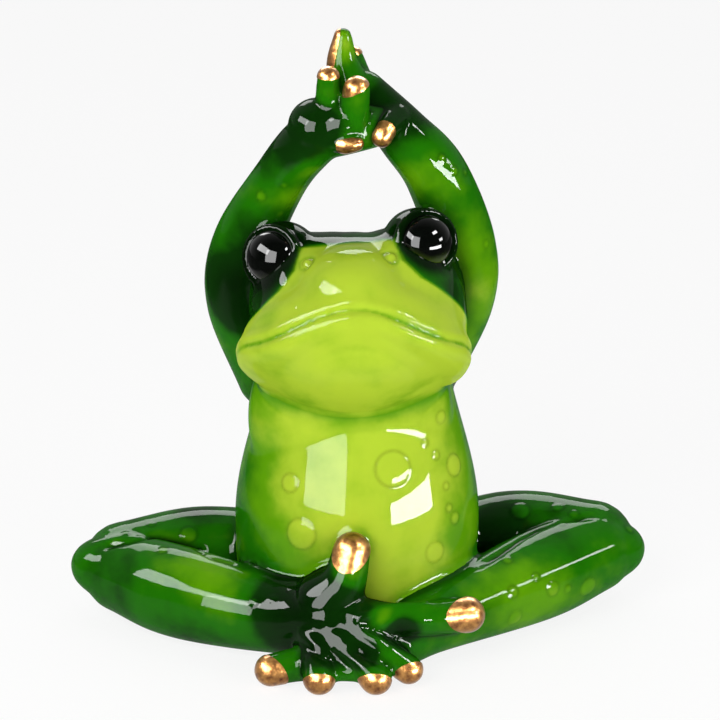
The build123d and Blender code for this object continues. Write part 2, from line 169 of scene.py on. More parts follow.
# Softboxes that show in the gloss: name, azimuth, rise, width, height, power
GLOSS_LAMPS = [
    ("left_softbox", -28, 20, 440, 440, 19.0), ("left_strip", -66, 33, 520, 200, 14.0),
    ("right_softbox", 48, 0, 480, 100, 17.0), ("right_spot", 72, 17.5, 150, 80, 3.0),
    ("right_top", 62, 42, 180, 90, 5.5), ("back_softbox", 180, 36, 700, 260, 9.0),
]
SENSOR = 36.0
# Share of the floor's own white that the eye and the gloss see, and the rest keeps the shadow
FLOOR_GLOW = 0.86
# Colour sockets of a Mix node, which share their names with its other kinds
MIX_A, MIX_B, MIX_RESULT = 6, 7, 2


def linear(hex_colour):
    """Linear RGBA of an sRGB hex colour."""
    levels = [int(hex_colour[i : i + 2], 16) / 255 for i in (0, 2, 4)]
    return tuple(v / 12.92 if v <= 0.04045 else ((v + 0.055) / 1.055) ** 2.4 for v in levels) + (1.0,)


class FrogSizes(bpy.types.PropertyGroup):
    """Sizes of the castings' surface, in millimetres."""

    grain: bpy.props.FloatProperty(
        name="Skin grain", description="Spacing of a casting's surface mesh", default=0.45, min=0.3, max=1.5)
    ease: bpy.props.IntProperty(
        name="Easing", description="Rounds of smoothing on a casting", default=10, min=0, max=40)
    joint: bpy.props.FloatProperty(
        name="Joint fill", description="How far lacquer fills the joint of two castings", default=5.0, min=0.5)
    hand_joint: bpy.props.FloatProperty(
        name="Hand joint fill", description="Joint fill between hands and between feet", default=1.8, min=0.3)
    leaf: bpy.props.FloatProperty(
        name="Leaf thickness", description="How far the gilding stands proud of a digit", default=0.12, min=0.02)


class FrogColours(bpy.types.PropertyGroup):
    """Colours of the finishes."""

    lime: bpy.props.FloatVectorProperty(
        name="Lime", description="Lacquer on the face and belly", subtype="COLOR", size=4,
        default=linear("ADC834"))
    fern: bpy.props.FloatVectorProperty(
        name="Fern", description="Lacquer between lime and leaf", subtype="COLOR", size=4,
        default=linear("5C9A08"))
    leaf: bpy.props.FloatVectorProperty(
        name="Leaf", description="Lacquer on the limbs", subtype="COLOR", size=4, default=linear("1E6C04"))
    # Thickest lacquer, and also the colour of the darker painted shade
    moss: bpy.props.FloatVectorProperty(
        name="Moss", description="Lacquer where it is thickest", subtype="COLOR", size=4, default=linear("0B3205"))
    # Lacquer that pools almost black, and painted shade in joints, hollows and round the eyes
    pool: bpy.props.FloatVectorProperty(
        name="Pool", description="Lacquer pooled in hollows", subtype="COLOR", size=4, default=linear("041003"))
    gold: bpy.props.FloatVectorProperty(
        name="Gold", description="Rubbed gold leaf", subtype="COLOR", size=4, default=linear("A97A40"))
    bronze: bpy.props.FloatVectorProperty(
        name="Bronze", description="Worn edge of the leaf", subtype="COLOR", size=4, default=linear("55290C"))
    glass: bpy.props.FloatVectorProperty(
        name="Eye", description="Black of the eyes", subtype="COLOR", size=4, default=linear("060806"))
    olive: bpy.props.FloatVectorProperty(
        name="Olive", description="Lower edge of the eyes", subtype="COLOR", size=4, default=linear("3B4F12"))
    steel: bpy.props.FloatVectorProperty(
        name="Steel", description="Cut pin wire", subtype="COLOR", size=4, default=linear("B9B9B4"))


class FrogStage(bpy.types.PropertyGroup):
    """Levels of the studio light."""

    surround: bpy.props.FloatProperty(
        name="Wall", description="Level of the light from the wall behind", default=1.0, min=0)
    room: bpy.props.FloatProperty(
        name="Room", description="Level of the light from the room in front", default=0.06, min=0)
    key: bpy.props.FloatProperty(
        name="Key", description="Power of the large left lamp", default=2.9, min=0, unit="POWER")
    fill: bpy.props.FloatProperty(
        name="Fill", description="Power of the right lamp", default=1.8, min=0, unit="POWER")


def sizes():
    return bpy.context.scene.frog_sizes


def colours():
    return bpy.context.scene.frog_colours


# Shapes

def smooth_run(stations, step=0.9):
    """Close stations along a smooth line through a run's stations."""
    points = np.array(stations, float)
    padded = np.vstack([2 * points[0] - points[1], points, 2 * points[-1] - points[-2]])
    line = []
    for a, b, c, d in zip(padded, padded[1:], padded[2:], padded[3:]):
        count = max(2, int(np.linalg.norm((c - b)[:3]) / step))
        for t in np.arange(count) / count:
            line.append(0.5 * (2 * b + (c - a) * t + (2 * a - 5 * b + 4 * c - d) * t**2
                               + (3 * b - a - 3 * c + d) * t**3))
    line.append(points[-1])
    return line


def add_run(form, stations, swell=0.0):
    """Adds a limb to a form as close balls along its run."""
    for x, y, z, radius in smooth_run(stations):
        bmesh.ops.create_icosphere(
            form, subdivisions=3, radius=radius + swell, matrix=Matrix.Translation((x, y, z)))


def add_ellipsoid(form, centre, radii, turn=None):
    """Adds an ellipsoid to a form."""
    matrix = Matrix.Translation(centre) @ Matrix.Diagonal((*radii, 1))
    bmesh.ops.create_icosphere(form, subdivisions=5, radius=1, matrix=(turn or Matrix()) @ matrix)


def cast(form, rounds=None):
    """One smooth closed skin around a form's overlapping shapes."""
    mesh = bpy.data.meshes.new("form")
    form.to_mesh(mesh)
    form.free()
    piece = bpy.data.objects.new("form", mesh)
    bpy.context.scene.collection.objects.link(piece)
    skin = piece.modifiers.new("skin", "REMESH")
    skin.mode = "VOXEL"
    skin.voxel_size = sizes().grain
    ease = piece.modifiers.new("ease", "SMOOTH")
    ease.iterations = sizes().ease if rounds is None else rounds
    done = bpy.data.meshes.new_from_object(piece.evaluated_get(bpy.context.evaluated_depsgraph_get()))
    bpy.data.objects.remove(piece)
    bpy.data.meshes.remove(mesh)
    return done


def places(mesh):
    """A mesh's points as rows of an array."""
    found = np.empty(len(mesh.vertices) * 3)
    mesh.vertices.foreach_get("co", found)
    return found.reshape(-1, 3)


def normals(mesh):
    """The outward direction at each point of a mesh."""
    found = np.empty(len(mesh.vertices) * 3, np.float32)
    mesh.vertex_normals.foreach_get("vector", found)
    return found.reshape(-1, 3).astype(float)


def in_frame(points, matrix):
    """Points of the model in a frame of their own."""
    back = np.array(matrix.inverted())
    return points @ back[:3, :3].T + back[:3, 3]


def move(mesh, points):
    """Puts a mesh's points in new places."""
    mesh.vertices.foreach_set("co", points.ravel())
    mesh.update()


def tree_of(mesh):
    """Search tree of a mesh's surface."""
    form = bmesh.new()
    form.from_mesh(mesh)
    tree = BVHTree.FromBMesh(form)
    form.free()
    return tree


def ramp(values, low, high):
    """Smooth step of values from 0 at low to 1 at high."""
    share = np.clip((values - low) / (high - low), 0, 1)
    return share * share * (3 - 2 * share)


def gaps(mesh, other, tree, reach):
    """Distance of each point of a mesh from another surface, below 0 inside it and the reach at most."""
    points, bounds = places(mesh), places(other)
    found = np.full(len(points), reach)
    close = ((points > bounds.min(0) - reach) & (points < bounds.max(0) + reach)).all(1)
    for i in np.flatnonzero(close):
        point = Vector(points[i])
        spot, outward, _, distance = tree.find_nearest(point)
        found[i] = min(reach, distance if (point - spot).dot(outward) > 0 else -distance)
    return found


def head_matrix():
    """The head's own frame in the model's."""
    x, y, z = (radians(angle) for angle in HEAD_TURN)
    turn = Matrix.Rotation(x, 4, "X") @ Matrix.Rotation(y, 4, "Y") @ Matrix.Rotation(z, 4, "Z")
    return Matrix.Translation(HEAD_PLACE) @ turn


def eye_matrix(side):
    """Frame at the middle of an eye mound in the head's own: its own +Z is the way the eye looks."""
    outward, upward = radians(EYE_OUTWARD), radians(EYE_UPWARD)
    look = Vector((side * sin(outward) * cos(upward), -cos(outward) * cos(upward), sin(upward)))
    x, y, z = EYE_PLACE
    turn = look.to_track_quat("Z", "Y").to_matrix().to_4x4()
    return Matrix.Translation((side * x, y, z)) @ turn


def view_ray(px, py):
    """Start and direction of the photograph's line of sight through a pixel."""
    rise = radians(VIEW_RISE)
    back = Vector((0, -cos(rise), sin(rise)))
    start = Vector(VIEW_TARGET) + back * VIEW_DISTANCE
    across = (px / FRAME_PIXELS - 0.5) * VIEW_WIDTH
    up = (0.5 - py / FRAME_PIXELS) * VIEW_WIDTH
    through = Vector(VIEW_TARGET) + Vector((across, 0, 0)) + Vector((0, sin(rise), cos(rise))) * up
    return start, (through - start).normalized()


def body_form():
    """Pear-shaped body, from the CAD body, with a full throat."""
    form = bmesh.new()
    form.from_mesh(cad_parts["torso"].data)
    bmesh.ops.remove_doubles(form, verts=form.verts, dist=1e-6)
    bmesh.ops.scale(form, vec=(1 / MM,) * 3, verts=form.verts)
    add_ellipsoid(form, *THROAT)
    return cast(form, THROAT_EASE)


def head_form():
    """Wide head with a down-turned mouth, nostrils, and eye mounds with lid rims."""
    form = bmesh.new()
    for centre, radii in HEAD_OVALS:
        add_ellipsoid(form, centre, radii)
    mesh = cast(form, HEAD_EASE)
    bend_mouth(mesh)
    carve_mouth(mesh)
    form = bmesh.new()
    form.from_mesh(mesh)
    for side in SIDES.values():
        mound = eye_matrix(side)
        add_ellipsoid(form, (0, 0, 0), (MOUND_RADIUS,) * 3, mound)
        for step in range(60):
            turn = radians(6 * step)
            ring = EYE_RADIUS + 0.7 * LID_RADIUS
            spot = mound @ Vector((ring * cos(turn), ring * sin(turn), EYE_RIM))
            bmesh.ops.create_icosphere(
                form, subdivisions=2, radius=LID_RADIUS + 0.2, matrix=Matrix.Translation(spot))
    mesh = cast(form, MOUND_EASE)
    mesh.transform(head_matrix())
    for px, py in NOSTRILS:
        raise_nostril(mesh, px, py)
    return mesh


def bend_mouth(mesh):
    """Draws the sides of the mouth down, and leaves the crown and the throat."""
    points = places(mesh)
    x, _, z = points.T
    points[:, 2] -= mouth_drop(x) * (1 - ramp(z, -5, 6)) * ramp(z, -21, -9)
    move(mesh, points)


def mouth_drop(x):
    """How far the mouth has dropped at a distance from the middle of the face."""
    drop = 3.5 * ramp(np.abs(x), 1, 18) - 1.4 * ramp(np.abs(x), 18, 24.5)
    return drop + 1.7 * ramp(x, 3, 22) - ramp(-x, 3, 22)


def carve_mouth(mesh):
    """Cuts the mouth between a folded upper lip and a rolled lower lip, with the crease below it."""
    points = places(mesh)
    x, y, z = points.T
    above = z - (MOUTH_HEIGHT - mouth_drop(x))
    front = ramp(-y, -6, 3) * (1 - 0.8 * ramp(np.abs(x), 20.5, 24.5))
    middle = np.exp(-((x / 11) ** 2))
    lift = -1.1 * np.exp(-((above / 0.65) ** 2))
    lift += 0.28 * np.exp(-(((above - 1.6) / 1.2) ** 2))
    lift += 0.4 * np.exp(-(((above + 2.6) / 1.8) ** 2))
    lift -= 0.8 * middle * np.exp(-(((above + 6.8) / 1.3) ** 2))
    move(mesh, points + normals(mesh) * (lift * front)[:, None])


def raise_nostril(mesh, px, py):
    """A small mound in a ring, where a line of sight meets the snout."""
    spot = tree_of(mesh).ray_cast(*view_ray(px, py))[0]
    points = places(mesh)
    gap = np.linalg.norm(points - np.array(spot), axis=1)
    lift = 0.6 * np.exp(-((gap / 1.1) ** 2)) - 0.3 * np.exp(-(((gap - 1.6) / 0.5) ** 2))
    move(mesh, points + normals(mesh) * lift[:, None])


def arm_form(name):
    """A raised arm with its hand and fingers in one run."""
    form = bmesh.new()
    for run in [ARM_RUNS[name], *FINGER_RUNS[name]]:
        add_run(form, run)
    return cast(form)


def leg_form(name):
    """A folded leg with its foot and toes, flat where it stands."""
    form = bmesh.new()
    for run in [THIGH_RUNS[name], SHIN_RUNS[name], KNEE_RUNS[name], *TOE_RUNS[name]]:
        add_run(form, run)
    if name == "right":
        for a, b, reach in WEBS:
            add_web(form, TOE_RUNS[name][a], TOE_RUNS[name][b], reach)
    mesh = cast(form)
    for line, depth, width in FOLDS[f"leg_{name}"]:
        score(mesh, line, depth, width)
    points = places(mesh)
    points[:, 2] = np.maximum(points[:, 2], 0)
    move(mesh, points)
    return mesh


def add_web(form, toe_a, toe_b, reach):
    """Adds the thin skin between two toes, drawn in a little between them."""
    a, b = np.array(smooth_run(toe_a)), np.array(smooth_run(toe_b))
    for out in np.linspace(0.1, reach, 9):
        start, end = a[int(out * (len(a) - 1))], b[int(out * (len(b) - 1))]
        inner = (a[int(0.88 * out * (len(a) - 1))] + b[int(0.88 * out * (len(b) - 1))]) / 2
        inner[2] -= 0.8
        inner[3] = start[3] = end[3] = 1.8
        add_run(form, [start, inner, end])


def score(mesh, line, depth, width):
    """Cuts a soft groove, or raises a ridge, along a line of (pixel x, pixel y) on a skin."""
    tree = tree_of(mesh)
    spots = []
    for px, py, _, _ in smooth_run([(x, y, 0, 0) for x, y in line], 2.0):
        spot = tree.ray_cast(*view_ray(px, py))[0]
        if spot is not None:
            spots.append(spot)
    near = KDTree(len(spots))
    for i, spot in enumerate(spots):
        near.insert(spot, i)
    near.balance()
    points = places(mesh)
    gap = np.array([near.find(point)[2] for point in points])
    ends = np.array([spots[0], spots[-1]])
    tail = np.linalg.norm(points[:, None] - ends[None], axis=2).min(1)
    lift = -depth * np.exp(-((gap / width) ** 2)) * (0.25 + 0.75 * ramp(tail, 0, 3 * width))
    move(mesh, points + normals(mesh) * lift[:, None])


NEIGHBOURS = {
    "body": ("head", "arm_left", "arm_right", "leg_left", "leg_right"),
    "head": ("body", "arm_left", "arm_right"),
    "arm_left": ("body", "head", "arm_right"),
    "arm_right": ("body", "head", "arm_left"),
    "leg_left": ("body", "leg_right"),
    "leg_right": ("body", "leg_left"),
}
# Castings whose joint is the chin's wider sweep
CHIN = ("body", "head")


@cache
def raw_castings():
    """The castings as they leave the moulds, before the joints are filled, with their search trees."""
    raw = {"body": body_form(), "head": head_form()}
    for name in SIDES:
        raw[f"arm_{name}"] = arm_form(name)
        raw[f"leg_{name}"] = leg_form(name)
    return raw, {name: tree_of(mesh) for name, mesh in raw.items()}


@cache
def filled_skin(*names, rounds=FILL_ROUNDS):
    """Search tree of one eased skin over castings, as the lacquer fills their joints."""
    form = bmesh.new()
    for name in names:
        form.from_mesh(raw_castings()[0][name])
    return tree_of(cast(form, rounds))


def draw_out(points, near, gap, skin):
    """Draws points near a joint out to its filled skin, and a margin inside the joint just under it."""
    for i in np.flatnonzero((near > 0) & (gap > -1.6)):
        point = Vector(points[i])
        spot, outward, _, distance = skin.find_nearest(point)
        if (point - spot).dot(outward) < 0 and distance < 6:
            spot += outward * min(0.3 * gap[i], 0)
            points[i] += np.array(spot - point) * ramp(near[i], 0, 0.4)


def joined_casting(name):
    """A casting drawn out to the filled joints, and its nearness to the castings that it meets."""
    raw, trees = raw_castings()
    mesh = raw[name].copy()
    points = places(mesh)
    near = np.zeros(len(points))
    least = np.full(len(points), np.inf)
    for other in NEIGHBOURS[name]:
        reach = sizes().hand_joint if other[:3] == name[:3] else sizes().joint
        gap = gaps(mesh, raw[other], trees[other], reach)
        near = np.maximum(near, 1 - np.clip(gap, 0, reach) / reach)
        least = np.minimum(least, gap)
    if name in CHIN:
        other = CHIN[1 - CHIN.index(name)]
        gap = gaps(mesh, raw[other], trees[other], CHIN_REACH)
        draw_out(points, 1 - np.clip(gap, 0, CHIN_REACH) / CHIN_REACH, gap, filled_skin(*CHIN, rounds=CHIN_ROUNDS))
    draw_out(points, near, least, filled_skin(*NEIGHBOURS))
    points[:, 2] = np.maximum(points[:, 2], 0)
    move(mesh, points)
    return mesh, near


def keep_values(mesh, **values):
    """Keeps a value for each point of a mesh, under a name that the finishes read."""
    for name, value in values.items():
        layer = mesh.attributes.new(name, "FLOAT", "POINT")
        layer.data.foreach_set("value", np.asarray(value, np.float32))


def hollows(mesh, rounds=10):
    """How deep each point of a mesh lies in a hollow, in millimetres."""
    edges = np.empty(len(mesh.edges) * 2, int)
    mesh.edges.foreach_get("vertices", edges)
    a, b = edges.reshape(-1, 2).T
    count = np.bincount(a, minlength=len(mesh.vertices)) + np.bincount(b, minlength=len(mesh.vertices))
    start = places(mesh)
    eased = start.copy()
    for _ in range(rounds):
        total = np.stack([np.bincount(a, eased[b, i], len(eased)) + np.bincount(b, eased[a, i], len(eased))
                          for i in range(3)], 1)
        eased = total / count[:, None]
    return ((eased - start) * normals(mesh)).sum(1)


def spray_tones_and_shade(mesh, shade, passes):
    """Sprays tones and painted shade in soft round passes of (pixel x, pixel y, radius in mm, shade, strength)."""
    points = places(mesh)
    tree = tree_of(mesh)
    for px, py, radius, colour, strength in passes:
        spot = tree.ray_cast(*view_ray(px, py))[0]
        if spot is None:
            continue
        fall = np.exp(-((points - np.array(spot)) ** 2).sum(1) / radius**2)
        shade = shade + (colour - shade) * fall * strength
    return shade


def divide(mesh, centre, direction, reach):
    """Parts a skin at a plane near a centre, as closed meshes: the rest and the end beyond the plane."""
    form = bmesh.new()
    form.from_mesh(mesh)
    middle = Vector(centre)
    way = Vector(direction).normalized()
    near = {v for v in form.verts if (v.co - middle).length < reach}
    faces = [f for f in form.faces if all(v in near for v in f.verts)]
    band = list({*faces, *(e for f in faces for e in f.edges), *(v for f in faces for v in f.verts)})
    cut = bmesh.ops.bisect_plane(form, geom=band, plane_co=middle, plane_no=way, dist=1e-5)["geom_cut"]
    rim = [e for e in cut if isinstance(e, bmesh.types.BMEdge)]
    bmesh.ops.split_edges(form, edges=rim)
    seed = max((v for v in form.verts if v.is_boundary), key=lambda v: sum(
        (f.calc_center_median() - middle).dot(way) for f in v.link_faces) / len(v.link_faces))
    beyond, edge = {seed}, [seed]
    while edge:
        edge = [w for v in edge for w in (e.other_vert(v) for e in v.link_edges) if w not in beyond
                and not beyond.add(w)]
    parts = []
    for side in (False, True):
        part = form.copy()
        part.verts.ensure_lookup_table()
        lost = [part.verts[v.index] for v in form.verts if (v in beyond) != side]
        bmesh.ops.delete(part, geom=lost, context="VERTS")
        open_edges = [e for e in part.edges if e.is_boundary]
        for e in open_edges:
            e.smooth = False
        bmesh.ops.holes_fill(part, edges=open_edges, sides=0)
        bmesh.ops.triangulate(part, faces=[f for f in part.faces if len(f.verts) > 4])
        done = bpy.data.meshes.new("part")
        part.to_mesh(done)
        part.free()
        parts.append(done)
    form.free()
    return parts


def finish_piece(name, mesh, finish, node):
    """Scales a mesh to metres and sets it in the frame in a CAD node's place."""
    mesh.transform(Matrix.Scale(MM, 4))
    mesh.shade_smooth()
    mesh.materials.clear()
    mesh.materials.append(finish)
    piece = bpy.data.objects.new(name, mesh)
    bpy.context.scene.collection.objects.link(piece)
    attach(piece, "root")
    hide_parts(node)
    return piece


# Finishes

def add_node(tree, kind, links=(), **settings):
    """Adds a node: settings are its properties, links are pairs of an input and a value or an output."""
    node = tree.nodes.new(kind)
    for key, value in settings.items():
        setattr(node, key, value)
    for key, value in dict(links).items():
        if isinstance(value, bpy.types.NodeSocket):
            tree.links.new(value, node.inputs[key])
        else:
            node.inputs[key].default_value = value
    return node


def new_finish(name):
    """An empty material with its output and node tree."""
    finish = bpy.data.materials.new(name)
    finish.use_nodes = True
    finish.node_tree.nodes.clear()
    return finish, finish.node_tree, finish.node_tree.nodes.new("ShaderNodeOutputMaterial")


@cache
def lacquer(name):
    """Translucent green lacquer, airbrushed over cast resin and dipped in a thick gloss coat.

    Thin lacquer shows lime and thick lacquer a deep green, and it pools almost black in hollows. The shade value
    also carries painted light and shade, and the almost black mix also stands for painted shade in joints, hollows
    and round the eyes.
    """
    tones = colours()
    finish, tree, output = new_finish(name)
    coords = add_node(tree, "ShaderNodeTexCoord").outputs["Object"]
    shade = add_node(tree, "ShaderNodeAttribute", attribute_name="shade").outputs["Fac"]
    pool = add_node(tree, "ShaderNodeAttribute", attribute_name="pool").outputs["Fac"]
    # Brush mottle about 7 mm across
    mottle = add_node(tree, "ShaderNodeTexNoise", {"Vector": coords, "Scale": 1 / 0.007, "Detail": 3.0})
    drift = add_node(tree, "ShaderNodeMapRange", {
        "Value": mottle.outputs["Fac"], "From Min": 0.3, "From Max": 0.7, "To Min": -0.09, "To Max": 0.09})
    level = add_node(tree, "ShaderNodeMath", {0: shade, 1: drift.outputs["Result"]}, operation="ADD")
    tint = add_node(tree, "ShaderNodeValToRGB", {"Fac": level.outputs["Value"]})
    stops = tint.color_ramp
    stops.interpolation = "EASE"
    for place, colour in ((0.3, tones.leaf), (0.62, tones.fern)):
        stops.elements.new(place).color = colour
    stops.elements[0].color = tones.moss
    stops.elements[-1].color = tones.lime
    # Almost black where lacquer pools and where shade is painted: joints, hollows and round the eyes
    depth = add_node(tree, "ShaderNodeMix", {
        "Factor": pool, MIX_A: tint.outputs["Color"], MIX_B: tones.pool}, data_type="RGBA")
    shader = add_node(tree, "ShaderNodeBsdfPrincipled", {
        "Base Color": depth.outputs[MIX_RESULT], "Roughness": 0.4, "IOR": 1.5, "Specular IOR Level": 0.0,
        "Coat Weight": 0.16, "Coat Roughness": 0.02, "Coat IOR": 1.5})
    tree.links.new(shader.outputs["BSDF"], output.inputs["Surface"])
    return finish


@cache
def gold_leaf():
    """Rubbed gold leaf under gloss, worn to bronze brown in its grain."""
    tones = colours()
    finish, tree, output = new_finish("rubbed gold leaf")
    coords = add_node(tree, "ShaderNodeTexCoord").outputs["Object"]
    # Leaf wrinkles about 1.2 mm across
    grain = add_node(tree, "ShaderNodeTexNoise", {"Vector": coords, "Scale": 1 / 0.0012, "Detail": 5.0})
    worn = add_node(tree, "ShaderNodeMapRange", {
        "Value": grain.outputs["Fac"], "From Min": 0.28, "From Max": 0.66})
    tint = add_node(tree, "ShaderNodeMix", {"Factor": worn.outputs["Result"]}, data_type="RGBA")
    tint.inputs[MIX_A].default_value = tones.bronze
    tint.inputs[MIX_B].default_value = tones.gold
    bump = add_node(tree, "ShaderNodeBump", {
        "Height": grain.outputs["Fac"], "Strength": 0.35, "Distance": 0.0003})
    shader = add_node(tree, "ShaderNodeBsdfPrincipled", {
        "Base Color": tint.outputs[MIX_RESULT], "Metallic": 0.8, "Roughness": 0.3, "Normal": bump.outputs["Normal"],
        "Coat Weight": 0.15, "Coat Roughness": 0.05})
    tree.links.new(shader.outputs["BSDF"], output.inputs["Surface"])
    return finish


@cache
def eye_glass():
    """Polished black dome with an olive lower edge."""
    tones = colours()
    finish, tree, output = new_finish("polished black eye dome")
    olive = add_node(tree, "ShaderNodeAttribute", attribute_name="olive").outputs["Fac"]
    tint = add_node(tree, "ShaderNodeMix", {"Factor": olive}, data_type="RGBA")
    tint.inputs[MIX_A].default_value = tones.glass
    tint.inputs[MIX_B].default_value = tones.olive
    shader = add_node(tree, "ShaderNodeBsdfPrincipled", {
        "Base Color": tint.outputs[MIX_RESULT], "Roughness": 0.03, "IOR": 1.5, "Specular IOR Level": 0.12})
    tree.links.new(shader.outputs["BSDF"], output.inputs["Surface"])
    return finish


@cache
def pin_steel():
    """Cut steel wire, unevenly dull from drawing and cutting."""
    finish, tree, output = new_finish("drawn steel wire")
    coords = add_node(tree, "ShaderNodeTexCoord").outputs["Object"]
    # Dull marks about 0.8 mm across
    marks = add_node(tree, "ShaderNodeTexNoise", {"Vector": coords, "Scale": 1 / 0.0008, "Detail": 2.0})
    rough = add_node(tree, "ShaderNodeMapRange", {
        "Value": marks.outputs["Fac"], "To Min": 0.25, "To Max": 0.45})
    shader = add_node(tree, "ShaderNodeBsdfPrincipled", {
        "Base Color": colours().steel, "Metallic": 1.0, "Roughness": rough.outputs["Result"]})
    tree.links.new(shader.outputs["BSDF"], output.inputs["Surface"])
    return finish


# Paint

def pooling_and_shade(mesh, near):
    """Where lacquer pools and shade is painted: in joints and hollows."""
    hollow = hollows(mesh)
    return np.clip(0.85 * near**2 + 2.2 * np.clip(hollow, 0, 1), 0, 1)


# Airbrushed tones and painted shade seen in the photograph: pixel x, pixel y, radius in millimetres, shade,
# strength.
# Shade 0 is moss, 0.3 leaf, 0.62 fern and 1 lime, and below 0 it turns almost black, as lacquer pools and as
# painted shade. The darker passes in creases, hollows, under the chin, round the eyes and under the limbs are
# painted shade
TONE_AND_SHADE_PASSES = {
    "body": [
        (355, 480, 16, 1.0, 0.7), (300, 470, 8, 0.85, 0.5), (262, 450, 5, 0.55, 0.6), (270, 550, 7, 0.45, 0.7),
        (300, 560, 6, 0.62, 0.6), (460, 530, 5, 0.45, 0.7), (440, 560, 5, 0.7, 0.5), (350, 400, 9, 0.85, 0.5),
        (262, 410, 4, 0.62, 0.5), (244, 520, 7, 0.25, 0.8), (250, 480, 6, 0.35, 0.75), (258, 555, 7, 0.25, 0.7),
        (248, 440, 5, 0.45, 0.7), (475, 470, 4, 0.4, 0.6),
    ],
    "head": [
        (352, 285, 12, 1.0, 0.6), (300, 330, 9, 0.95, 0.5), (420, 320, 9, 0.95, 0.5), (350, 370, 12, 0.95, 0.5),
        (270, 318, 3, 0.6, 0.5), (350, 252, 4, 0.75, 0.4),
        (265, 366, 5, 0.7, 0.5), (300, 400, 5, 0.6, 0.5), (400, 398, 5, 0.65, 0.5),
    ],
    "arm_right": [
        (297, 195, 3.5, 0.72, 0.7), (312, 165, 4, 0.62, 0.6), (270, 182, 4, 0.45, 0.5), (240, 195, 5, 0.48, 0.6),
        (214, 250, 6, 0.45, 0.6), (211, 300, 6, 0.4, 0.6), (226, 345, 6, 0.48, 0.6), (297, 128, 8, -0.3, 0.9),
        (243, 228, 5, 0.0, 0.7), (238, 285, 7, -0.7, 0.95), (268, 148, 4, 0.08, 0.6), (244, 310, 5, -0.5, 0.9),
        (328, 95, 3, 0.5, 0.7), (357, 105, 3, 0.5, 0.7), (322, 124, 4, -0.3, 0.8),
        (284, 142, 5, -0.2, 0.85), (264, 164, 4, 0.0, 0.6), (310, 172, 3, 0.7, 0.7),
    ],
    "arm_left": [
        (412, 180, 4, 0.62, 0.7), (440, 185, 6, 0.55, 0.6), (475, 240, 6, 0.68, 0.65), (480, 290, 7, 0.86, 0.8),
        (458, 350, 6, 0.62, 0.6), (392, 108, 6, -0.3, 0.9), (425, 125, 4, 0.2, 0.6), (346, 45, 3, 0.8, 0.9),
        (460, 165, 5, 0.35, 0.5), (385, 84, 4, 0.1, 0.7), (404, 106, 5, -0.25, 0.8),
    ],
    "leg_right": [
        (200, 572, 9, 0.74, 0.8), (160, 562, 7, 0.55, 0.6), (232, 588, 6, 0.68, 0.6), (190, 533, 4, 0.45, 0.5),
        (118, 588, 8, 0.04, 0.75), (248, 560, 5, 0.1, 0.6), (285, 610, 8, -0.5, 0.9), (105, 600, 6, 0.12, 0.6),
        (190, 632, 9, 0.1, 0.8), (205, 514, 6, 0.08, 0.8), (315, 612, 9, -0.6, 0.95), (350, 572, 4, 0.42, 0.8),
        (430, 607, 4, 0.4, 0.7), (300, 600, 6, -0.7, 0.95), (330, 636, 4, -0.5, 0.8), (350, 582, 3.5, 0.66, 0.85),
        (312, 651, 2.5, -0.8, 0.9), (363, 654, 2.5, -0.8, 0.9), (385, 617, 2.5, 0.7, 0.8),
        (402, 632, 3, -0.8, 0.9), (340, 605, 5, -0.3, 0.8), (375, 598, 3, -0.1, 0.7),
    ],
    "leg_left": [
        (545, 590, 10, 0.74, 0.8), (600, 590, 6, 0.5, 0.5), (500, 592, 7, 0.62, 0.6), (562, 542, 8, 0.15, 0.7),
        (500, 530, 6, -0.4, 0.9), (482, 545, 5, -0.5, 0.85), (540, 503, 7, 0.12, 0.7), (622, 540, 5, 0.36, 0.5),
        (455, 640, 6, 0.42, 0.6), (520, 615, 6, 0.58, 0.5), (402, 618, 5, 0.8, 0.8), (410, 632, 3, -0.3, 0.8),
    ],
}
# Droplets of clear coat: pixel x, pixel y, radius in millimetres
DROPLETS = {
    "body": [
        (393, 469, 3.7), (454, 465, 2.3), (436, 455, 0.9), (446, 486, 0.8), (449, 508, 0.9), (455, 518, 1.3),
        (435, 552, 2.2), (441, 417, 1.3), (290, 483, 1.9), (301, 534, 3.2), (425, 443, 0.8),
    ],
    "head": [(307, 263, 1.15), (391, 257, 1.2)],
    "arm_right": [(261, 196, 1.1), (280, 214, 0.8), (284, 185, 0.7)],
    "arm_left": [(442, 158, 0.9), (454, 171, 1.0), (486, 244, 0.8), (465, 172, 0.7)],
    "leg_right": [
        (189, 534, 1.8), (163, 550, 1.3), (151, 524, 0.9), (126, 533, 0.9), (255, 602, 1.0), (272, 599, 1.1),
    ],
    "leg_left": [
        (520, 511, 2.1), (558, 507, 1.3), (574, 514, 1.1), (562, 524, 1.0), (507, 560, 1.1), (536, 577, 0.9),
        (553, 589, 1.6), (513, 592, 1.3), (588, 587, 2.1), (515, 618, 1.8), (568, 589, 0.9), (629, 529, 1.1),
    ],
}


